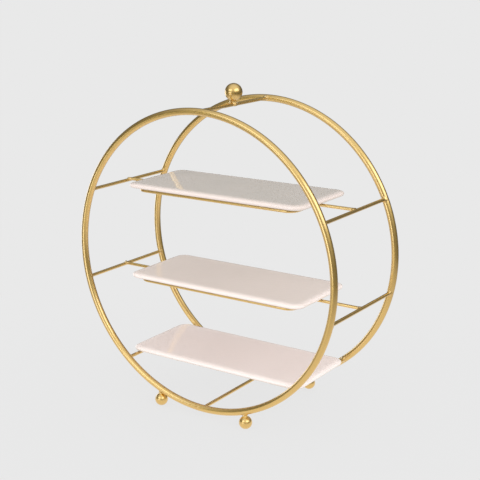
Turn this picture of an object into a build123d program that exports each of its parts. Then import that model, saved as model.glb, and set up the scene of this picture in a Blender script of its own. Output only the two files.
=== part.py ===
from build123d import *
import os
from math import atan2, degrees, sqrt

# Tiered cake stand, millimetres. Two round hoops stand one behind the other on ball feet.
# Thin rods join them; the upper and middle side rods carry a wire ring between them on
# short stubs, and a loose glazed plate nests in each ring and between the lower rods.
# X runs along the plates, Y from the front to the rear, Z up. The floor is Z = 0.

# Hoops
hoop_radius = 171.0          # to the middle of the tube
hoop_spacing = 138.0         # middle of one tube to the middle of the other
tube_diameter = 8.0
hoop_seam = 20.0             # where each hoop's butt seam lies, degrees from the side
saddle_arc = 16.0            # bend of tube that shapes the end of a rod, degrees

# Rods that join the hoops
rod_diameter = 4.0
weld_throat = 1.2            # how far a weld spreads along and around the rod it holds
upper_rod_level = 68.2       # above the middle of the hoops
middle_rod_level = -39.8
lower_rod_margin = 2.5       # each lower rod beyond the end wires of the rings

# Wire rings, hung on stubs between the side rods
wire_diameter = 4.0
ring_end_inset = 12.5        # middle of the end wire inside the end of the plate
ring_side_inset = 7.3
ring_corner_radius = 12.0
upper_ring_rise = 1.2        # above its side rods
middle_ring_rise = 0.3
stub_diameter = 3.6

# Ball feet and finial
foot_ball = 15.0
foot_offset = 60.0           # each side of the middle
foot_gap = 1.7               # ball to tube, bridged by the neck
foot_neck = 4.6
finial_ball = 20.0
finial_gap = 1.9             # ball to top rod
finial_neck = 5.4
neck_fillet = 1.0

# Plates
plate_length = 238.0
plate_width = 104.6
plate_corner_radius = 13.0
edge_height = 5.4
shoulder_width = 7.0         # from the edge to the flat top
base_margin = 6.5            # from the edge to the flat underside
base_drop = 5.6              # flat underside below the flat top
rim_width = 12.0             # run round the slab in the middle
foot_rim_height = 1.5
foot_rim_width = 4.0
foot_rim_fillet = 0.6

# Clearances
seat_gap = 0.3               # plate to the wire or rod below it
nest_clearance = 1.0         # foot rim to the inside of the ring

# Sizes and levels that follow from these
tube_radius = tube_diameter / 2
rod_radius = rod_diameter / 2
wire_radius = wire_diameter / 2
ring_length = plate_length - 2 * ring_end_inset    # between the middles of the wires
ring_width = plate_width - 2 * ring_side_inset
foot_drop = sqrt((hoop_radius + tube_radius) ** 2 - foot_offset**2)
hub_height = foot_drop + foot_gap + foot_ball      # middle of the hoops above the floor
lower_rod_level = -sqrt(hoop_radius**2 - (ring_length / 2 + lower_rod_margin) ** 2)
rod_levels = {"upper": upper_rod_level, "middle": middle_rod_level, "lower": lower_rod_level}
ring_levels = {"upper": upper_rod_level + upper_ring_rise, "middle": middle_rod_level + middle_ring_rise}

sides = {"left": -1, "right": 1}
ends = {"front": -1, "rear": 1}
parts = {}


def rod_x(level):
    """Distance from the middle plane at which a rod at this level meets the hoops."""
    return sqrt(hoop_radius**2 - level**2)


def hoop(side):
    upright = Rot(Y=hoop_seam) * Rot(X=90) * Torus(hoop_radius, tube_radius)
    return Pos(0, side * hoop_spacing / 2, hub_height) * upright


def weld_collar(radius, reach):
    """Fillet of weld round a rod along +Z, with a skirt of this reach below Z = 0."""
    toe = radius + weld_throat
    hollow = RadiusArc((toe, 0), (radius, weld_throat), weld_throat)
    outline = Polyline((radius, weld_throat), (0, weld_throat), (0, -reach), (toe, -reach), (toe, 0))
    return revolve(Plane.XZ * make_face(hollow + outline), Axis.Z)


def welded_rod(radius, start, finish, start_face, finish_face):
    """Rod from start to finish with a weld collar where it leaves each face."""
    way = finish - start
    length = way.length
    rod = Cylinder(radius, length, align=(Align.CENTER, Align.CENTER, Align.MIN))
    rod += Pos(Z=start_face) * weld_collar(radius, start_face / 2)
    rod += Pos(Z=length - finish_face) * Rot(X=180) * weld_collar(radius, finish_face / 2)
    return Plane(origin=start, z_dir=way) * rod


def saddled_rod():
    """Rod between the sides of two hoops on the Y axis, its ends cut to saddle the tubes."""
    front = Vector(hoop_radius, -hoop_spacing / 2, 0)
    rear = Vector(hoop_radius, hoop_spacing / 2, 0)
    rod = welded_rod(rod_radius, front, rear, tube_radius, tube_radius)
    bend = Torus(hoop_radius, tube_radius, major_angle=saddle_arc, align=None)
    bend = Rot(X=90) * Rot(Z=-saddle_arc / 2) * bend
    return rod - Pos(Y=front.Y) * bend - Pos(Y=rear.Y) * bend


def cross_rod(rod, x, level):
    """The rod turned round the middle of the hoops to the place it joins them."""
    return Pos(Z=hub_height) * Rot(Y=degrees(atan2(-level, x))) * rod


def run_round(section, length, width, corner):
    """Carry a section round a rounded rectangle: along its sides and turned at its corners.
    The section's X points outward and its Y up, with X = 0 on the rectangle."""
    corner_x = length / 2 - corner
    corner_y = width / 2 - corner
    end_section = Pos(length / 2, corner_y) * (Plane.XZ * section)
    side_section = Pos(corner_x, width / 2) * (Plane.YZ * section)
    quarter = revolve(end_section, Axis((corner_x, corner_y, 0), (0, 0, 1)), 90)
    quarter += extrude(end_section, corner_y, dir=(0, -1, 0))
    quarter += extrude(side_section, corner_x, dir=(-1, 0, 0))
    half = quarter + mirror(quarter, Plane.XZ)
    return half + mirror(half, Plane.YZ)


def wire_ring(level):
    loop = run_round(Circle(wire_radius), ring_length, ring_width, ring_corner_radius)
    return Pos(Z=hub_height + level) * loop


def ring_stub(tier, side):
    """Stub from the end wire of a ring to the side rod, its welds only at its flanks."""
    height = hub_height + ring_levels[tier]
    inner = Vector(side * ring_length / 2, 0, height)
    outer = Vector(side * rod_x(rod_levels[tier]), 0, height)
    stub = welded_rod(stub_diameter / 2, inner, outer, wire_radius, rod_radius)
    return stub & Pos(Z=height) * Box(2 * hoop_radius, ring_width, stub_diameter)


def necked_ball(ball, neck, reach):
    """Ball on the origin with a neck that stands this far above its top."""
    outline = Circle(ball / 2)
    outline += Pos(Y=(ball / 2 + reach) / 2) * Rectangle(neck, ball / 2 + reach)
    inner_corners = outline.vertices().filter_by(lambda v: 0 < v.Y < ball / 2)
    outline = fillet(inner_corners, neck_fillet)
    right_half = outline & Pos(X=ball) * Rectangle(2 * ball, 4 * ball)
    return revolve(Plane.XZ * right_half, Axis.Z)


def rim_section():
    """Soft shoulder that falls from the flat top to the edge, rounded under to the base."""
    edge_radius = edge_height / 2
    heel = (-edge_radius, -edge_height)
    top_edge = (-shoulder_width, 0)
    base_edge = (-base_margin, -base_drop)
    shoulder = EllipticalCenterArc((-shoulder_width, -edge_radius), shoulder_width, edge_radius, arc_size=90)
    under = CenterArc((-edge_radius, -edge_radius), edge_radius, 0, -90)
    flare = Spline(heel, base_edge, tangents=((-1, 0), (-1, 0)))
    inner_wall = Polyline(base_edge, (-rim_width, -base_drop), (-rim_width, 0), top_edge)
    return make_face(shoulder + under + flare + inner_wall)


def plate():
    """Glazed plate with its flat top at Z = 0."""
    body = run_round(rim_section(), plate_length, plate_width, plate_corner_radius)
    middle = RectangleRounded(
        plate_length - 2 * rim_width, plate_width - 2 * rim_width, plate_corner_radius - rim_width
    )
    body += Pos(Z=-base_drop) * extrude(middle, base_drop)
    inset = wire_radius + nest_clearance
    foot_length = ring_length - 2 * inset
    foot_width = ring_width - 2 * inset
    foot_corner = ring_corner_radius - inset
    foot_outline = RectangleRounded(foot_length, foot_width, foot_corner)
    foot_outline -= RectangleRounded(
        foot_length - 2 * foot_rim_width, foot_width - 2 * foot_rim_width, foot_corner - foot_rim_width
    )
    foot_rim = extrude(foot_outline, foot_rim_height)
    foot_rim = fillet(foot_rim.faces().sort_by(Axis.Z)[0].edges(), foot_rim_fillet)
    return body + Pos(Z=-base_drop - foot_rim_height) * foot_rim


# The welded frame
for end, side in ends.items():
    parts[f"{end}_hoop"] = hoop(side)

rod = saddled_rod()
parts["top_rod"] = cross_rod(rod, 0, hoop_radius)
parts["bottom_rod"] = cross_rod(rod, 0, -hoop_radius)
for tier, level in rod_levels.items():
    for name, side in sides.items():
        parts[f"{tier}_{name}_rod"] = cross_rod(rod, side * rod_x(level), level)

for tier, level in ring_levels.items():
    ring = wire_ring(level)
    parts[f"{tier}_ring"] = ring
    for name, side in sides.items():
        parts[f"{tier}_{name}_stub"] = ring_stub(tier, side) - ring - parts[f"{tier}_{name}_rod"]

foot = necked_ball(foot_ball, foot_neck, foot_gap + tube_radius)
for end, y_side in ends.items():
    for name, x_side in sides.items():
        place = Pos(x_side * foot_offset, y_side * hoop_spacing / 2, foot_ball / 2)
        parts[f"{end}_{name}_foot"] = place * foot - parts[f"{end}_hoop"]

finial_height = hub_height + hoop_radius + rod_radius + finial_gap + finial_ball / 2
finial = Rot(X=180) * necked_ball(finial_ball, finial_neck, finial_gap + rod_radius)
parts["finial"] = Pos(Z=finial_height) * finial - parts["top_rod"]

# The loose plates
seat_levels = {tier: level + wire_radius for tier, level in ring_levels.items()}
seat_levels["lower"] = rod_levels["lower"] + rod_radius
blank = plate()
for tier, level in seat_levels.items():
    parts[f"{tier}_plate"] = Pos(Z=hub_height + level + seat_gap + base_drop) * blank

os.makedirs("parts", exist_ok=True)
for name, shape in parts.items():
    export_step(shape, f"parts/{name}.step")
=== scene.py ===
from math import atan2, cos, hypot, pi, radians, sin, sqrt, tau
import bmesh
import bpy
from mathutils import Matrix, Vector, noise


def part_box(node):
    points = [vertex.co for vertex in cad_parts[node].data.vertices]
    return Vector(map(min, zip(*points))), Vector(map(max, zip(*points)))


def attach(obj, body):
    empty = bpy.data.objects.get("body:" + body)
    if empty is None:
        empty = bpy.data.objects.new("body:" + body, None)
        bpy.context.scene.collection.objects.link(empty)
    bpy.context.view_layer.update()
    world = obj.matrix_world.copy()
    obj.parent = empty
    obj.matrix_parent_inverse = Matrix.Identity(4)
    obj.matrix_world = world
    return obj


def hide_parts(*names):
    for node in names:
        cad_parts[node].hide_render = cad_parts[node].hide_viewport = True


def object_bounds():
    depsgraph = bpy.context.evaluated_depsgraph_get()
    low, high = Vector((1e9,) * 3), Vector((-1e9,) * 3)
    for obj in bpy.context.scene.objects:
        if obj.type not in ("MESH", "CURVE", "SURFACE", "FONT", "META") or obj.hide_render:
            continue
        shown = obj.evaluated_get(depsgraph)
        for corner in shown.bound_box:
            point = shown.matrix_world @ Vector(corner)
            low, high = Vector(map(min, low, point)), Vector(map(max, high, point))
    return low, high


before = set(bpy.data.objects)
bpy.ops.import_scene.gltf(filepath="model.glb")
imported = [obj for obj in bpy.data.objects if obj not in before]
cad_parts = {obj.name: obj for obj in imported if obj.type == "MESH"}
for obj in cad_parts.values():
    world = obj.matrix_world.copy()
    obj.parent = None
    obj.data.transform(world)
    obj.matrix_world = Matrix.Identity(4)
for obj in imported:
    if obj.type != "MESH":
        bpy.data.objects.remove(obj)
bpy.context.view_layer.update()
mm = 0.001
mergeDistance = 0.002 * mm

# The hoops set the size and the middle that the other pieces are placed from.
hoopLow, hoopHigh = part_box("front_hoop")
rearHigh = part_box("rear_hoop")[1]
tubeRadius = (hoopHigh.y - hoopLow.y) / 2
hoopRadius = (hoopHigh.x - hoopLow.x) / 2 - tubeRadius
hub = (hoopLow + rearHigh) / 2
halfSpacing = (rearHigh.y - hoopLow.y) / 2 - tubeRadius
print("frame loaded, hoops", round(2 * (hoopRadius + tubeRadius) / mm), "mm across")


# Materials
def toLinear(hexColour):
    parts = [int(hexColour[i:i + 2], 16) / 255 for i in (1, 3, 5)]
    return [c / 12.92 if c <= 0.04045 else ((c + 0.055) / 1.055) ** 2.4 for c in parts] + [1.0]


def addNode(tree, kind, settings=None, links=None):
    # A socket goes by its name or its number: a Mix node's colours are its inputs 6 and 7 and its output 2.
    node = tree.nodes.new(kind)
    for name, value in (settings or {}).items():
        if isinstance(name, int) or name in node.inputs:
            node.inputs[name].default_value = value
        else:
            setattr(node, name, value)
    for name, source in (links or {}).items():
        tree.links.new(source, node.inputs[name])
    return node


def newMaterial(name, settings):
    material = bpy.data.materials.new(name)
    material.use_nodes = True
    tree = material.node_tree
    shader = tree.nodes["Principled BSDF"]
    for socket, value in settings.items():
        shader.inputs[socket].default_value = value
    place = addNode(tree, "ShaderNodeTexCoord").outputs["Object"]
    return material, tree, shader, place


def patternScale(size):
    # Noise has about one feature for each 1 / scale of a metre.
    return 1 / (size * mm)


goldLook = {
    "pale": "#F2CE73",
    "deep": "#ECC467",
    "driftSize": 14.0,        # mm, slow change of tone in the plating
    "smooth": 0.30,           # roughness where the polish is best
    "dull": 0.34,
    "wearSize": 6.0,          # mm, patches that handling has rubbed
    "wearSpan": (0.3, 0.7),   # noise from the smooth patches to the dull ones
    "lacquer": 0.14,          # roughness of the clear lacquer
    "lacquerIndex": 2.15,
    "lumpSize": 0.0,          # mm
    "lumpDepth": 0.0,
}


def goldPlatedSteel(name, look):
    # Gold-plated steel bar, satin brushed and then lacquered: soft wide reflections under a thin whiter one.
    lacquer = {"Coat Weight": 1.0, "Coat Roughness": look["lacquer"], "Coat IOR": look["lacquerIndex"]}
    material, tree, shader, place = newMaterial(name, {"Metallic": 1.0, **lacquer})
    drift = addNode(tree, "ShaderNodeTexNoise", {"Scale": patternScale(look["driftSize"]), "Detail": 3.0},
                    {"Vector": place})
    tones = {"data_type": "RGBA", 6: toLinear(look["deep"]), 7: toLinear(look["pale"])}
    tone = addNode(tree, "ShaderNodeMix", tones, {0: drift.outputs["Fac"]})
    wear = addNode(tree, "ShaderNodeTexNoise", {"Scale": patternScale(look["wearSize"]), "Detail": 2.0},
                   {"Vector": place})
    start, stop = look["wearSpan"]
    span = {"From Min": start, "From Max": stop, "To Min": look["smooth"], "To Max": look["dull"]}
    polish = addNode(tree, "ShaderNodeMapRange", span, {"Value": wear.outputs["Fac"]})
    tree.links.new(tone.outputs[2], shader.inputs["Base Color"])
    tree.links.new(polish.outputs["Result"], shader.inputs["Roughness"])
    if look["lumpDepth"]:
        lumps = addNode(tree, "ShaderNodeTexNoise", {"Scale": patternScale(look["lumpSize"]), "Detail": 1.0},
                        {"Vector": place})
        bump = addNode(tree, "ShaderNodeBump", {"Strength": 1.0, "Distance": look["lumpDepth"] * mm},
                       {"Height": lumps.outputs["Fac"]})
        tree.links.new(bump.outputs["Normal"], shader.inputs["Normal"])
        tree.links.new(bump.outputs["Normal"], shader.inputs["Coat Normal"])
    return material


goldSatin = goldPlatedSteel("goldPlatedSteelSatin", goldLook)
# Weld metal is plated with the rest but never polished, so it is lumpier and duller.
weldLook = dict(goldLook, pale="#F6D27E", deep="#EABF62", smooth=0.33, dull=0.42, lumpSize=1.6, lumpDepth=0.05)
goldWeld = goldPlatedSteel("goldPlatedWeld", weldLook)
# Beads that stand proud are given a paler gold: a painted highlight for the bright glints on the weld beads.
beadHighlightLook = dict(goldLook, pale="#FFEBB8", deep="#F8DC98", lumpSize=1.4, lumpDepth=0.06)
goldBeadHighlight = goldPlatedSteel("goldBeadPaintedHighlight", beadHighlightLook)

# Each plate's glaze pools deep and pale at random, and each tier has its own tones: the upper plate's darker, greyer
# tones are painted shade and the lower plates' paler tones painted light, for how the light falls on each tier.
glazeTonesWithPaintedShade = {
    "upper": {"pale": "#D3CBC5", "deep": "#C8C3BD", "paintedEdgeHighlight": "#E6D9D3"},
    "middle": {"pale": "#E6DAD4", "deep": "#DED3CC", "paintedEdgeHighlight": "#F2E6E1"},
    "lower": {"pale": "#ECE0DC", "deep": "#E7DAD6", "paintedEdgeHighlight": "#F6ECE8"},
}
glazeLook = {
    "index": 1.5,
    "roughness": 0.03,
    "cloudSize": 60.0,    # mm, where the glaze pooled
    "waveSize": 5.5,      # mm, slow waves left by brushing and firing
    "waveDepth": 0.06,
}


def blushGlaze(name, tones, look):
    # Stoneware under a clear blush-pink glaze: glassy, with waves that bend narrow reflections, and paler towards
    # the edge, a painted highlight along the lip.
    material, tree, shader, place = newMaterial(name, {"IOR": look["index"], "Roughness": look["roughness"]})
    clouds = addNode(tree, "ShaderNodeTexNoise", {"Scale": patternScale(look["cloudSize"]), "Detail": 2.0},
                     {"Vector": place})
    pooled = {"data_type": "RGBA", 6: toLinear(tones["deep"]), 7: toLinear(tones["pale"])}
    body = addNode(tree, "ShaderNodeMix", pooled, {0: clouds.outputs["Fac"]})
    # Towards the edge the colour turns to the paler tone: a painted highlight along the lip.
    edge = addNode(tree, "ShaderNodeAttribute", {"attribute_name": "edge"})
    colour = addNode(tree, "ShaderNodeMix", {"data_type": "RGBA", 7: toLinear(tones["paintedEdgeHighlight"])},
                     {0: edge.outputs["Fac"], 6: body.outputs[2]})
    waves = addNode(tree, "ShaderNodeTexNoise", {"Scale": patternScale(look["waveSize"]), "Detail": 0.0},
                    {"Vector": place})
    bump = addNode(tree, "ShaderNodeBump", {"Strength": 1.0, "Distance": look["waveDepth"] * mm},
                   {"Height": waves.outputs["Fac"]})
    tree.links.new(colour.outputs[2], shader.inputs["Base Color"])
    tree.links.new(bump.outputs["Normal"], shader.inputs["Normal"])
    return material


stonewareLook = {"buff": "#C9B5A2", "pale": "#E0D2C3", "index": 1.5, "roughness": 0.75, "gritSize": 0.8,
                 "gritDepth": 0.06}


def bareStoneware(look):
    # The foot is wiped clean before firing: dry, buff and slightly gritty.
    settings = {"IOR": look["index"], "Roughness": look["roughness"]}
    material, tree, shader, place = newMaterial("bareStoneware", settings)
    grit = addNode(tree, "ShaderNodeTexNoise", {"Scale": patternScale(look["gritSize"]), "Detail": 4.0},
                   {"Vector": place})
    tones = {"data_type": "RGBA", 6: toLinear(look["buff"]), 7: toLinear(look["pale"])}
    colour = addNode(tree, "ShaderNodeMix", tones, {0: grit.outputs["Fac"]})
    bump = addNode(tree, "ShaderNodeBump", {"Strength": 1.0, "Distance": look["gritDepth"] * mm},
                   {"Height": grit.outputs["Fac"]})
    tree.links.new(colour.outputs[2], shader.inputs["Base Color"])
    tree.links.new(bump.outputs["Normal"], shader.inputs["Normal"])
    return material


glazes = {tier: blushGlaze(tier + "BlushGlaze", tones, glazeLook) for tier, tones in glazeTonesWithPaintedShade.items()}
bare = bareStoneware(stonewareLook)
print("materials ready")


# Making pieces
def finishPiece(name, bm, materials, body, replaced=()):
    bmesh.ops.remove_doubles(bm, verts=bm.verts[:], dist=mergeDistance)
    bmesh.ops.recalc_face_normals(bm, faces=bm.faces[:])
    mesh = bpy.data.meshes.new(name)
    bm.to_mesh(mesh)
    bm.free()
    for material in materials:
        mesh.materials.append(material)
    mesh.shade_smooth()
    piece = bpy.data.objects.new(name, mesh)
    bpy.context.scene.collection.objects.link(piece)
    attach(piece, body)
    if replaced:
        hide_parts(*replaced)
    return piece


def arc(centre, radius, start, stop, steps):
    angles = [radians(start + (stop - start) * i / steps) for i in range(steps + 1)]
    return [(centre[0] + radius * cos(a), centre[1] + radius * sin(a)) for a in angles]


def lathe(profile, steps):
    # Spins a line of (radius, height) points round Z.
    bm = bmesh.new()
    line = [bm.verts.new((radius, 0, height)) for radius, height in profile]
    edges = [bm.edges.new(pair) for pair in zip(line, line[1:])]
    bmesh.ops.spin(bm, geom=line + edges, cent=(0, 0, 0), axis=(0, 0, 1), angle=tau, steps=steps, use_merge=True)
    bmesh.ops.remove_doubles(bm, verts=bm.verts[:], dist=mergeDistance)
    return bm


def clamp(share):
    return min(1.0, max(0.0, share))


def markWeld(bm, isWeld):
    for face in bm.faces:
        if isWeld(face.calc_center_median()):
            face.material_index = 1


def lumpy(point, size, seed):
    return noise.noise(point / (size * mm) + Vector((seed, 0, 0)))


# Hoops: 8 mm bar bent to a ring and butt-welded
hoopLook = {"steps": 360, "sides": 28}


def makeHoop(node):
    low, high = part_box(node)
    middle = (low + high) / 2
    bm = bmesh.new()
    start = middle + Vector((hoopRadius, 0, 0))
    bmesh.ops.create_circle(bm, segments=hoopLook["sides"], radius=tubeRadius, matrix=Matrix.Translation(start))
    bmesh.ops.spin(bm, geom=bm.verts[:] + bm.edges[:], cent=middle, axis=(0, 1, 0), angle=tau,
                   steps=hoopLook["steps"], use_merge=True)
    finishPiece(node + "Look", bm, [goldSatin], "stand", [node])


makeHoop("front_hoop")
makeHoop("rear_hoop")

# Each hoop's butt weld is ground back to a low uneven band.
seamLook = {
    "offset": {"front_hoop": -5.5, "rear_hoop": 9.0},      # mm along the tube from its lowest point
    "proud": {"front_hoop": 0.16, "rear_hoop": 0.10},
    "width": 7.0,
    "sink": 0.05,            # mm, the ends of the band go under the tube's surface
    "lumpSize": 2.2,
    "lumpSeed": 3.7,
    "lumpSwell": (0.6, 0.9),    # level, and how far the lumps change it
    "sides": 48,
    "steps": 18,
}


def makeSeam(node):
    low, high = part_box(node)
    middle = (low + high) / 2
    look = seamLook
    turn = look["offset"][node] * mm / hoopRadius
    spread = look["width"] * mm / hoopRadius
    bm = bmesh.new()
    start = Matrix.Translation(middle + Vector((0, 0, -hoopRadius))) @ Matrix.Rotation(pi / 2, 4, "Y")
    bmesh.ops.create_circle(bm, segments=look["sides"], radius=tubeRadius, matrix=start)
    about = Matrix.Translation(middle) @ Matrix.Rotation(-turn + spread / 2, 4, "Y") @ Matrix.Translation(-middle)
    bmesh.ops.transform(bm, matrix=about, verts=bm.verts[:])
    bmesh.ops.spin(bm, geom=bm.verts[:] + bm.edges[:], cent=middle, axis=(0, 1, 0), angle=-spread,
                   steps=look["steps"])
    level, change = look["lumpSwell"]
    for vert in bm.verts:
        flat = Vector((vert.co.x - middle.x, 0, vert.co.z - middle.z))
        along = atan2(flat.x, -flat.z) - turn
        core = middle + flat.normalized() * hoopRadius
        outward = (vert.co - core).normalized()
        swell = max(0.0, 1 - (2 * along / spread) ** 2)
        lump = level + change * lumpy(vert.co, look["lumpSize"], look["lumpSeed"])
        vert.co += outward * (look["proud"][node] * lump * swell - look["sink"]) * mm
    finishPiece(node + "Seam", bm, [goldWeld], "stand")


makeSeam("front_hoop")
makeSeam("rear_hoop")
print("hoops bent")

# Rods: 4 mm bar with a fillet of weld at each end
rodLook = {
    "radius": 2.0,
    "throat": 1.9,
    "sink": 0.8,            # mm, how far the end goes into the tube
    "saddle": 0.95,         # share of the tube's radius over which the end follows it
    "core": 0.5,            # mm round the axis that stays smooth
    "lumpSize": 1.7,
    "lumpDepth": 0.22,
    "sides": 28,
    "filletSteps": 7,
}


def makeRod(node, seed):
    low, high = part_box(node)
    axis = (low + high) / 2
    look = rodLook
    radial = Vector((axis.x - hub.x, 0, axis.z - hub.z)).normalized()
    length = 2 * halfSpacing
    radius, throat = look["radius"] * mm, look["throat"] * mm
    fillet = arc((radius + throat, tubeRadius + throat), throat, 270, 180, look["filletSteps"])
    inner = tubeRadius - look["sink"] * mm
    nearEnd = [(0, inner), (radius + throat, inner)] + fillet
    farEnd = [(r, length - h) for r, h in reversed(nearEnd)]
    bm = lathe(nearEnd + farEnd, look["sides"])
    toY = Matrix.Translation((axis.x, hub.y - halfSpacing, axis.z)) @ Matrix.Rotation(-pi / 2, 4, "X")
    bmesh.ops.transform(bm, matrix=toY, verts=bm.verts[:])
    weldStart = halfSpacing - tubeRadius - throat
    for vert in bm.verts:
        off = vert.co - Vector((axis.x, vert.co.y, axis.z))
        side = 1 if vert.co.y > hub.y else -1
        share = clamp((abs(vert.co.y - hub.y) - weldStart) / throat)
        if not share:
            continue
        across = min(abs(off.dot(radial)), look["saddle"] * tubeRadius)
        vert.co.y += side * share * (tubeRadius - sqrt(tubeRadius**2 - across**2))
        if off.length > look["core"] * mm:
            lump = look["lumpDepth"] * mm * lumpy(vert.co, look["lumpSize"], seed)
            vert.co += off.normalized() * share * lump
    markWeld(bm, lambda c: abs(c.y - hub.y) > weldStart)
    finishPiece(node + "Look", bm, [goldSatin, goldWeld], "stand", [node])


tiers = ("upper", "middle", "lower")
rodNames = ["top_rod", "bottom_rod"] + [f"{tier}_{side}_rod" for tier in tiers for side in ("left", "right")]
for index, rodName in enumerate(rodNames):
    makeRod(rodName, 11.3 * index)
print("rods set")


# Sweeps round a rounded rectangle: half of one side, one corner, then mirrored
def sweepRound(bm, length, width, corner, sideSteps, cornerSteps):
    # The section stands at X = length / 2, Y = 0, and turns toward +Y.
    longSteps, shortSteps = sideSteps
    run = width / 2 - corner
    made = bmesh.ops.spin(bm, geom=bm.verts[:] + bm.edges[:], cent=(0, 0, 0), axis=(0, 0, 1), angle=0,
                          dvec=(0, run / shortSteps, 0), steps=shortSteps)
    made = bmesh.ops.spin(bm, geom=made["geom_last"], cent=(length / 2 - corner, run, 0), axis=(0, 0, 1),
                          angle=pi / 2, steps=cornerSteps)
    run = length / 2 - corner
    bmesh.ops.spin(bm, geom=made["geom_last"], cent=(0, 0, 0), axis=(0, 0, 1), angle=0,
                   dvec=(-run / longSteps, 0, 0), steps=longSteps)
    for axis in ("Y", "X"):
        bmesh.ops.mirror(bm, geom=bm.verts[:] + bm.edges[:] + bm.faces[:], merge_dist=0.01 * mm, axis=axis)
    bmesh.ops.remove_doubles(bm, verts=bm.verts[:], dist=mergeDistance)


# Wire rings
ringLook = {"sides": 24, "cornerRadius": 12.0, "sideSteps": (8, 4), "cornerSteps": 14}


def ringSize(node):
    low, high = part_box(node)
    wire = (high.z - low.z) / 2
    return (low + high) / 2, wire, high.x - low.x - 2 * wire, high.y - low.y - 2 * wire


def makeRing(node):
    middle, wire, length, width = ringSize(node)
    bm = bmesh.new()
    upright = Matrix.Translation((length / 2, 0, 0)) @ Matrix.Rotation(pi / 2, 4, "X")
    bmesh.ops.create_circle(bm, segments=ringLook["sides"], radius=wire, matrix=upright)
    sweepRound(bm, length, width, ringLook["cornerRadius"] * mm, ringLook["sideSteps"], ringLook["cornerSteps"])
    bmesh.ops.translate(bm, vec=middle, verts=bm.verts[:])
    finishPiece(node + "Look", bm, [goldSatin], "stand", [node])


makeRing("upper_ring")
makeRing("middle_ring")

# Stubs from each ring to the side rods, their welds spread sideways only
stubLook = {
    "radius": 1.8,
    "ringThroat": 1.4,
    "rodThroat": 2.4,
    "reach": 0.6,           # where each end stops, as a share of the radius of what it meets
    "lumpSize": 1.6,
    "lumpDepth": 0.2,
    "sides": 24,
    "ringSteps": 6,
    "rodSteps": 8,
}


def makeStub(tier, side, seed):
    node = f"{tier}_{side}_stub"
    middle, wire, length, _ = ringSize(f"{tier}_ring")
    rodLow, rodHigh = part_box(f"{tier}_{side}_rod")
    look = stubLook
    sign = 1 if side == "right" else -1
    span = abs((rodLow.x + rodHigh.x) / 2 - middle.x) - length / 2
    radius = look["radius"] * mm
    near, far = look["ringThroat"] * mm, look["rodThroat"] * mm
    rod = rodLook["radius"] * mm
    profile = [(0, look["reach"] * wire), (radius + near, look["reach"] * wire)]
    profile += arc((radius + near, wire + near), near, 270, 180, look["ringSteps"])
    profile += [(r, span - h) for r, h in arc((radius + far, rod + far), far, 180, 270, look["rodSteps"])]
    profile += [(radius + far, span - look["reach"] * rod), (0, span - look["reach"] * rod)]
    bm = lathe(profile, look["sides"])
    start = Matrix.Translation((middle.x + sign * length / 2, middle.y, middle.z))
    bmesh.ops.transform(bm, matrix=start @ Matrix.Rotation(sign * pi / 2, 4, "Y"), verts=bm.verts[:])
    for vert in bm.verts:
        off = Vector((0, vert.co.y - middle.y, vert.co.z - middle.z))
        if off.length > 1.01 * radius:
            vert.co.z = middle.z + off.z * radius / off.length
            vert.co += off.normalized() * look["lumpDepth"] * mm * lumpy(vert.co, look["lumpSize"], seed)
    wireLine = abs(middle.x + sign * length / 2)
    ringWeld, rodWeld = wireLine + wire + near, wireLine + span - rod - far
    markWeld(bm, lambda c: abs(c.x) < ringWeld or abs(c.x) > rodWeld)
    finishPiece(node + "Look", bm, [goldSatin, goldWeld], "stand", [node])


for index, tier in enumerate(("upper", "middle")):
    makeStub(tier, "left", 5.1 + index)
    makeStub(tier, "right", 7.9 + index)
print("rings and stubs set")

# Ball feet and finial: turned balls on short welded necks
ballLook = {
    "foot": {"neck": 2.3, "blend": 1.0, "gap": 1.7, "weld": 1.4, "sink": 2.6, "lumpSize": 1.8},
    "finial": {"neck": 2.7, "blend": 1.0, "gap": 1.9, "weld": 1.2, "sink": 1.9, "lumpSize": 1.9},
    "lumpShare": 0.16,      # of the weld's own radius
    "saddle": 0.98,         # share of the rod's radius over which the finial's weld follows it
    "sides": 64,
    "ballSteps": 40,
    "filletSteps": 6,
}


def ballProfile(ball, look):
    # Ball on the origin, neck upward, weld spreading where it lands.
    neck, blend = look["neck"] * mm, look["blend"] * mm
    steps = ballLook["filletSteps"]
    rise = sqrt((ball + blend) ** 2 - (neck + blend) ** 2)
    touch = atan2(rise, neck + blend) * 180 / pi
    points = arc((0, 0), ball, -90, touch, ballLook["ballSteps"])
    points += arc((neck + blend, rise), blend, 180 + touch, 180, steps)[1:]
    landing, weld = ball + look["gap"] * mm, look["weld"] * mm
    spread = arc((neck + weld, landing - weld), weld, 180, 90, steps)
    points = [p for p in points if p[1] < spread[0][1] - 0.05 * mm]
    points += spread + [(neck + weld, landing + look["sink"] * mm), (0, landing + look["sink"] * mm)]
    return points, landing - weld


def fitWeld(bm, middle, up, weldStart, look, lift, seed):
    # Lays the end of the neck on what it is welded to, and makes the weld metal lumpy.
    for vert in bm.verts:
        share = clamp((up * (vert.co.z - middle.z) - weldStart) / (look["weld"] * mm))
        if share:
            vert.co.z += share * lift(vert.co)
            off = Vector((vert.co.x - middle.x, vert.co.y - middle.y, 0))
            vert.co += off * share * ballLook["lumpShare"] * lumpy(vert.co, look["lumpSize"], seed)
    markWeld(bm, lambda c: up * (c.z - middle.z) > weldStart)


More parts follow.
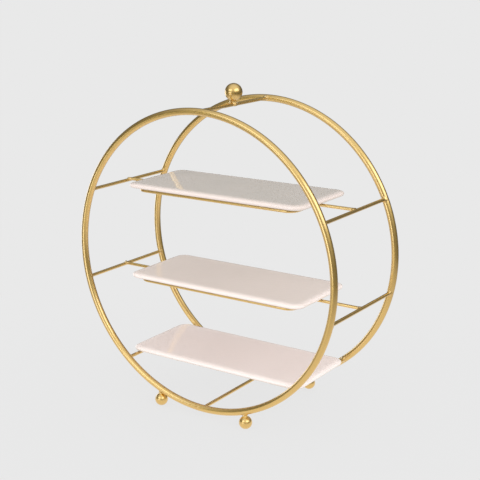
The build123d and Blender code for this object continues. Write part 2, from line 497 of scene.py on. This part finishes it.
def makeFoot(node, seed):
    low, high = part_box(node)
    ball = (high.x - low.x) / 2
    middle = Vector(((low.x + high.x) / 2, (low.y + high.y) / 2, low.z + ball))
    profile, weldStart = ballProfile(ball, ballLook["foot"])
    bm = lathe(profile, ballLook["sides"])
    bmesh.ops.translate(bm, vec=middle, verts=bm.verts[:])

    def tubeUnder(point):
        reach = hoopRadius + sqrt(max(0.0, tubeRadius**2 - (point.y - middle.y) ** 2))
        return hub.z - sqrt(reach**2 - (point.x - hub.x) ** 2)
    level = tubeUnder(middle)
    fitWeld(bm, middle, 1, weldStart, ballLook["foot"], lambda point: tubeUnder(point) - level, seed)
    finishPiece(node + "Look", bm, [goldSatin, goldWeld], "stand", [node])


feet = ("front_left_foot", "front_right_foot", "rear_left_foot", "rear_right_foot")
for index, footName in enumerate(feet):
    makeFoot(footName, 2.3 + 4.4 * index)


def makeFinial():
    low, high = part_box("finial")
    ball = (high.x - low.x) / 2
    middle = Vector(((low.x + high.x) / 2, (low.y + high.y) / 2, high.z - ball))
    profile, weldStart = ballProfile(ball, ballLook["finial"])
    bm = lathe(profile, ballLook["sides"])
    bmesh.ops.transform(bm, matrix=Matrix.Translation(middle) @ Matrix.Rotation(pi, 4, "X"), verts=bm.verts[:])
    rod = rodLook["radius"] * mm

    def rodFall(point):
        across = min(abs(point.x - middle.x), ballLook["saddle"] * rod)
        return sqrt(rod**2 - across**2) - rod
    fitWeld(bm, middle, -1, weldStart, ballLook["finial"], rodFall, 8.8)
    finishPiece("finialLook", bm, [goldSatin, goldWeld], "stand", ["finial"])


makeFinial()
print("balls set")

# Beads of weld that stand proud of the joints: mm from the joint, half sizes in mm, turn in degrees
beadLook = {
    "leftRod": ((-0.3, -1.2, 2.0), (1.6, 2.4, 1.3), 20),
    "rightRod": ((-2.8, 0.0, 1.2), (3.0, 1.9, 1.0), 0),
    "topRear": ((-0.8, -4.3, 1.6), (1.9, 1.6, 1.3), 10),
    "topFront": ((1.2, 4.4, 1.3), (1.7, 1.5, 1.2), 0),
    "finialFront": ((-3.0, -2.6, 2.4), (1.2, 1.2, 3.2), 30),
    "finialRear": ((3.2, 1.2, 2.2), (1.3, 1.4, 1.1), 30),
    "foot": ((-1.5, -1.5, -2.3), (1.5, 1.3, 1.7), 15),
    "lumpShare": 0.22,
    "lumpSize": 1.5,
}


def addBead(bm, kind, joint, seed):
    offset, size, turn = beadLook[kind]
    place = joint + Vector(offset) * mm
    made = bmesh.ops.create_icosphere(bm, subdivisions=3, radius=1.0)
    shape = Matrix.Rotation(radians(turn), 4, "Z") @ Matrix.Diagonal((*[s * mm for s in size], 1))
    bmesh.ops.transform(bm, matrix=Matrix.Translation(place) @ shape, verts=made["verts"])
    for vert in made["verts"]:
        lump = beadLook["lumpShare"] * lumpy(vert.co, beadLook["lumpSize"], seed)
        vert.co = place + (vert.co - place) * (1 + lump)


def makeBeads():
    bm = bmesh.new()
    for tier, seed in (("upper", 0.4), ("middle", 0.2)):
        for kind, side, step in (("leftRod", "left", 1.0), ("rightRod", "right", 2.0)):
            low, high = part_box(f"{tier}_{side}_rod")
            addBead(bm, kind, Vector(((low.x + high.x) / 2, hub.y, (low.z + high.z) / 2)), step + seed)
    top = Vector((hub.x, hub.y, hub.z + hoopRadius))
    addBead(bm, "topRear", top + Vector((0, halfSpacing, 0)), 3.3)
    addBead(bm, "topFront", top - Vector((0, halfSpacing, 0)), 4.1)
    finialFoot = Vector((hub.x, hub.y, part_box("finial")[0].z))
    addBead(bm, "finialFront", finialFoot, 5.2)
    addBead(bm, "finialRear", finialFoot, 5.9)
    for index, node in enumerate(feet):
        low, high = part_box(node)
        addBead(bm, "foot", Vector(((low.x + high.x) / 2, (low.y + high.y) / 2, high.z)), 6.0 + index)
    finishPiece("weldBeads", bm, [goldBeadHighlight], "stand")


makeBeads()
print("weld beads set")

# Plates: a flat top with soft shoulders, rounded under, on a nested foot
plateLook = {
    "cornerRadius": 13.0,
    "edge": 5.4,            # height of the edge
    "shoulder": 7.0,        # from the edge to the flat top
    "rim": 12.0,            # run round the slab in the middle
    "baseDrop": 5.6,
    "baseMargin": 6.5,
    "highlightFrom": 1.1,        # painted highlight, full at the edge, less so inward
    "highlightReach": 11.0,      # mm
    "shoulderSteps": 20,
    "underSteps": 10,
    "flareSteps": 6,
    "sideSteps": (24, 10),
    "cornerSteps": 16,
}
footRimLook = {"height": 1.5, "width": 4.0, "bevel": 0.6, "bevelSteps": 4, "nest": 1.0, "sink": 0.2,
               "sideSteps": (12, 6), "cornerSteps": 12}


def plateSection(look):
    edgeRadius, shoulder, steps = look["edge"] / 2, look["shoulder"], look["shoulderSteps"]
    quarter = [radians(90 - 90 * i / steps) for i in range(steps + 1)]
    section = [(-look["rim"], 0)] + [(shoulder * (cos(a) - 1), edgeRadius * (sin(a) - 1)) for a in quarter]
    section += arc((-edgeRadius, -edgeRadius), edgeRadius, 0, -90, look["underSteps"])[1:]
    run, fall = look["baseMargin"] - edgeRadius, look["baseDrop"] - look["edge"]
    for i in range(1, look["flareSteps"] + 1):
        t = i / look["flareSteps"]
        section.append((-edgeRadius - t * run, -look["edge"] - (3 - 2 * t) * t**2 * fall))
    return section + [(-look["rim"], -look["baseDrop"])]


def footRim(look):
    # The rim nests inside the wire ring, its lower edges rounded and wiped bare of glaze.
    bm = bmesh.new()
    _, wire, ringLength, ringWidth = ringSize("upper_ring")
    inset = 2 * (wire + look["nest"] * mm)
    length, width = ringLength - inset, ringWidth - inset
    corner = ringLook["cornerRadius"] * mm - inset / 2
    top = (-plateLook["baseDrop"] + look["sink"]) * mm
    bottom = -(plateLook["baseDrop"] + look["height"]) * mm
    outer, inner = length / 2, length / 2 - look["width"] * mm
    ring = [bm.verts.new((x, 0, z)) for x, z in ((outer, top), (outer, bottom), (inner, bottom), (inner, top))]
    for pair in zip(ring, ring[1:] + ring[:1]):
        bm.edges.new(pair)
    sweepRound(bm, length, width, corner, look["sideSteps"], look["cornerSteps"])

    def isLowerCorner(edge):
        atBottom = all(v.co.z < bottom + 0.01 * mm for v in edge.verts)
        return atBottom and len(edge.link_faces) == 2 and sum(abs(f.normal.z) for f in edge.link_faces) < 1.5
    bmesh.ops.bevel(bm, geom=[edge for edge in bm.edges if isLowerCorner(edge)], offset=look["bevel"] * mm,
                    affect="EDGES", segments=look["bevelSteps"], profile=0.5, material=-1)
    for face in bm.faces:
        face.material_index = 1 if all(v.co.z < bottom + look["bevel"] * mm for v in face.verts) else 0
    mesh = bpy.data.meshes.new("footRim")
    bm.to_mesh(mesh)
    bm.free()
    return mesh


def markPaintedEdgeHighlight(plate, middle, length, width, look):
    edge = plate.data.attributes.new("edge", "FLOAT", "POINT")
    corner = look["cornerRadius"] * mm
    for vert in plate.data.vertices:
        overX = abs(vert.co.x - middle.x) - length / 2 + corner
        overY = abs(vert.co.y - middle.y) - width / 2 + corner
        inside = (corner - hypot(max(overX, 0), max(overY, 0)) - min(max(overX, overY), 0)) / mm
        depth = (middle.z - vert.co.z) / mm
        # Paler towards the edge and over the shoulder: a painted highlight along the lip.
        paintedEdgeHighlight = clamp(look["highlightFrom"] - inside / look["highlightReach"]) ** 2
        edge.data[vert.index].value = paintedEdgeHighlight * clamp(look["edge"] - depth)


def makePlate(tier):
    node = tier + "_plate"
    low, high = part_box(node)
    look = plateLook
    middle = Vector(((low.x + high.x) / 2, (low.y + high.y) / 2, high.z))
    length, width = high.x - low.x, high.y - low.y
    bm = bmesh.new()
    line = [bm.verts.new((length / 2 + out * mm, 0, up * mm)) for out, up in plateSection(look)]
    for pair in zip(line, line[1:]):
        bm.edges.new(pair)
    sweepRound(bm, length, width, look["cornerRadius"] * mm, look["sideSteps"], look["cornerSteps"])
    bmesh.ops.holes_fill(bm, edges=[edge for edge in bm.edges if edge.is_boundary], sides=0)
    foot = footRim(footRimLook)
    bm.from_mesh(foot)
    bpy.data.meshes.remove(foot)
    bmesh.ops.translate(bm, vec=middle, verts=bm.verts[:])
    plate = finishPiece(node + "Look", bm, [glazes[tier], bare], node, [node])
    markPaintedEdgeHighlight(plate, middle, length, width, look)


for tier in tiers:
    makePlate(tier)
print("plates glazed")

# Studio: pale floor, soft lights and a plain room that the metal can mirror
studio = {
    "backdrop": "#E9E9E9",
    "tableRadius": 0.75,
    "lampDistance": 2.4,
    "floorColour": "#CBCCCD",
    "floorRoughness": 0.9,
    "floorGloss": 0.1,
    "floorMirrored": (0.85, 0.38),             # how bright the metal sees the floor, near and far
    "floorMirroredSpan": (0.08, 0.75),         # metres
    "floorGlow": "#FFF6E8",                    # light that comes back off the table is warmed by the metal
    "shadowShare": 0.08,                       # how much of the lit floor shows, with the shadow in it
    "shadowSpan": (0.1, 0.55),                 # metres over which it fades out
    "roomWalls": "#6E6B63",
    "roomCeiling": "#EDEBE6",
    "ceilingWay": (0.25, -0.25, 0.93),         # where the ceiling is brightest
    "ceilingSpan": (0.15, 1.0),
    "fill": (0.9, 1.35, 0.75),                 # at the horizon, in the band and overhead
    "bandRise": (0.0, 0.25),
    "bandFall": (0.6, 0.95),
}
centre = Vector((hub.x, hub.y, (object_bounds()[0][2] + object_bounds()[1][2]) / 2))


def paleFloor():
    bm = bmesh.new()
    bmesh.ops.create_circle(bm, cap_ends=True, segments=96, radius=studio["tableRadius"])
    mesh = bpy.data.meshes.new("studioFloor")
    bm.to_mesh(mesh)
    bm.free()
    floor = bpy.data.objects.new("studioFloor", mesh)
    bpy.context.scene.collection.objects.link(floor)
    settings = {"Base Color": toLinear(studio["floorColour"]), "Roughness": studio["floorRoughness"],
                "Specular IOR Level": studio["floorGloss"]}
    material, tree, shader, place = newMaterial("paleSweep", settings)
    rays = addNode(tree, "ShaderNodeLightPath").outputs
    seen = addNode(tree, "ShaderNodeMath", {"operation": "MAXIMUM"},
                   {0: rays["Is Camera Ray"], 1: rays["Is Glossy Ray"]})
    seen = addNode(tree, "ShaderNodeMath", {"operation": "MAXIMUM"},
                   {0: seen.outputs[0], 1: rays["Is Transmission Ray"]})
    away = addNode(tree, "ShaderNodeVectorMath", {"operation": "LENGTH"}, {0: place}).outputs["Value"]
    start, stop = studio["shadowSpan"]
    plain = addNode(tree, "ShaderNodeMapRange",
                    {"interpolation_type": "SMOOTHSTEP", "From Min": start, "From Max": stop,
                     "To Min": 1 - studio["shadowShare"], "To Max": 1.0}, {"Value": away})
    share = addNode(tree, "ShaderNodeMath", {"operation": "MULTIPLY"},
                    {0: seen.outputs[0], 1: plain.outputs["Result"]})
    start, stop = studio["floorMirroredSpan"]
    near, far = studio["floorMirrored"]
    mirrored = addNode(tree, "ShaderNodeMapRange",
                       {"interpolation_type": "SMOOTHSTEP", "From Min": start, "From Max": stop,
                        "To Min": near, "To Max": far}, {"Value": away})
    warm = addNode(tree, "ShaderNodeVectorMath", {"operation": "SCALE", 0: toLinear(studio["floorGlow"])[:3]},
                   {"Scale": mirrored.outputs["Result"]})
    level = addNode(tree, "ShaderNodeMix", {"data_type": "RGBA", 7: toLinear(studio["backdrop"])},
                    {0: rays["Is Camera Ray"], 6: warm.outputs["Vector"]})
    glow = addNode(tree, "ShaderNodeEmission", {"Strength": 1.0}, {"Color": level.outputs[2]})
    both = addNode(tree, "ShaderNodeMixShader", {},
                   {0: share.outputs[0], 1: shader.outputs[0], 2: glow.outputs[0]})
    tree.links.new(both.outputs[0], tree.nodes["Material Output"].inputs["Surface"])
    material.cycles.emission_sampling = "NONE"
    mesh.materials.append(material)


def plainRoom():
    world = bpy.data.worlds.new("plainRoom")
    bpy.context.scene.world = world
    world.use_nodes = True
    tree = world.node_tree
    tree.nodes.clear()
    way = addNode(tree, "ShaderNodeTexCoord").outputs["Generated"]
    ceiling = Vector(studio["ceilingWay"]).normalized()
    toward = addNode(tree, "ShaderNodeVectorMath", {"operation": "DOT_PRODUCT", 1: ceiling}, {0: way})
    start, stop = studio["ceilingSpan"]
    height = addNode(tree, "ShaderNodeMapRange",
                     {"interpolation_type": "SMOOTHSTEP", "From Min": start, "From Max": stop},
                     {"Value": toward.outputs["Value"]})
    tones = {"data_type": "RGBA", 6: toLinear(studio["roomWalls"]), 7: toLinear(studio["roomCeiling"])}
    walls = addNode(tree, "ShaderNodeMix", tones, {0: height.outputs["Result"]})
    # Matt surfaces are lit from a bright band above the horizon, which reaches between the plates.
    up = addNode(tree, "ShaderNodeSeparateXYZ", {}, {0: way}).outputs["Z"]
    low, band, top = studio["fill"]
    start, stop = studio["bandRise"]
    rise = addNode(tree, "ShaderNodeMapRange",
                   {"interpolation_type": "SMOOTHSTEP", "From Min": start, "From Max": stop,
                    "To Min": low, "To Max": band}, {"Value": up})
    start, stop = studio["bandFall"]
    fall = addNode(tree, "ShaderNodeMapRange",
                   {"interpolation_type": "SMOOTHSTEP", "From Min": start, "From Max": stop,
                    "To Min": 1.0, "To Max": top / band}, {"Value": up})
    fill = addNode(tree, "ShaderNodeMath", {"operation": "MULTIPLY"},
                   {0: rise.outputs["Result"], 1: fall.outputs["Result"]})
    rays = addNode(tree, "ShaderNodeLightPath").outputs
    light = addNode(tree, "ShaderNodeMix", {"data_type": "RGBA"},
                    {0: rays["Is Diffuse Ray"], 6: walls.outputs[2], 7: fill.outputs[0]})
    room = addNode(tree, "ShaderNodeBackground", {"Strength": 1.0}, {"Color": light.outputs[2]})
    pale = addNode(tree, "ShaderNodeBackground", {"Color": toLinear(studio["backdrop"]), "Strength": 1.0})
    both = addNode(tree, "ShaderNodeMixShader", {}, {0: rays["Is Camera Ray"], 1: room.outputs[0], 2: pale.outputs[0]})
    addNode(tree, "ShaderNodeOutputWorld", {}, {"Surface": both.outputs[0]})
    world.cycles.sampling_method = "NONE"


def softbox(name, azimuth, elevation, width, height, brightness):
    # An area lamp's face is as bright as its power over pi times its area.
    lamp = bpy.data.lights.new(name, "AREA")
    lamp.shape = "RECTANGLE"
    lamp.size, lamp.size_y = width, height
    lamp.energy = brightness * pi * width * height
    azimuth, elevation = radians(azimuth), radians(elevation)
    way = Vector((sin(azimuth) * cos(elevation), -cos(azimuth) * cos(elevation), sin(elevation)))
    light = bpy.data.objects.new(name, lamp)
    bpy.context.scene.collection.objects.link(light)
    facing = way.to_track_quat("Z", "Y").to_matrix().to_4x4()
    light.matrix_world = Matrix.Translation(centre + way * studio["lampDistance"]) @ facing
    light.visible_camera = False


# Azimuth and elevation in degrees, width and height in metres, and brightness. A panel between 7 and 19
# degrees above the horizon would be mirrored all over the tops of the plates, so none stands there.
softboxes = {
    "frontSoftbox": (-13, -7, 1.55, 1.15, 1.75),
    "highSoftbox": (-13, 30, 1.55, 0.90, 1.4),
    "rightSoftbox": (80, 33, 2.50, 1.10, 1.5),
    "leftSoftbox": (-106, -5, 1.70, 1.05, 1.4),
}
paleFloor()
plainRoom()
for name, place in softboxes.items():
    softbox(name, *place)

# Camera at the angle of view
view = {
    "azimuth": 34.644,
    "elevation": 14.796,
    "roll": -0.490,
    "distance": 1.2337,     # metres
    "lens": 80.15,
    "sensor": 36.0,
    "aimRight": 0.0405,     # aim off the hub, in hoop radii
    "aimUp": 0.0866,
}
camera = bpy.data.objects.new("camera", bpy.data.cameras.new("camera"))
bpy.context.scene.collection.objects.link(camera)
camera.data.lens = view["lens"]
camera.data.sensor_width = view["sensor"]
aim = Vector((hub.x + view["aimRight"] * hoopRadius, hub.y, hub.z + view["aimUp"] * hoopRadius))
azimuthTurn = Matrix.Rotation(radians(view["azimuth"]), 4, "Z")
elevationTurn = Matrix.Rotation(pi / 2 - radians(view["elevation"]), 4, "X")
rollTurn = Matrix.Rotation(radians(view["roll"]), 4, "Z")
camera.matrix_world = (Matrix.Translation(aim) @ azimuthTurn @ elevationTurn @ rollTurn
                       @ Matrix.Translation((0, 0, view["distance"])))
bpy.context.scene.camera = camera
bpy.context.scene.view_settings.view_transform = "Standard"
print("studio lit")
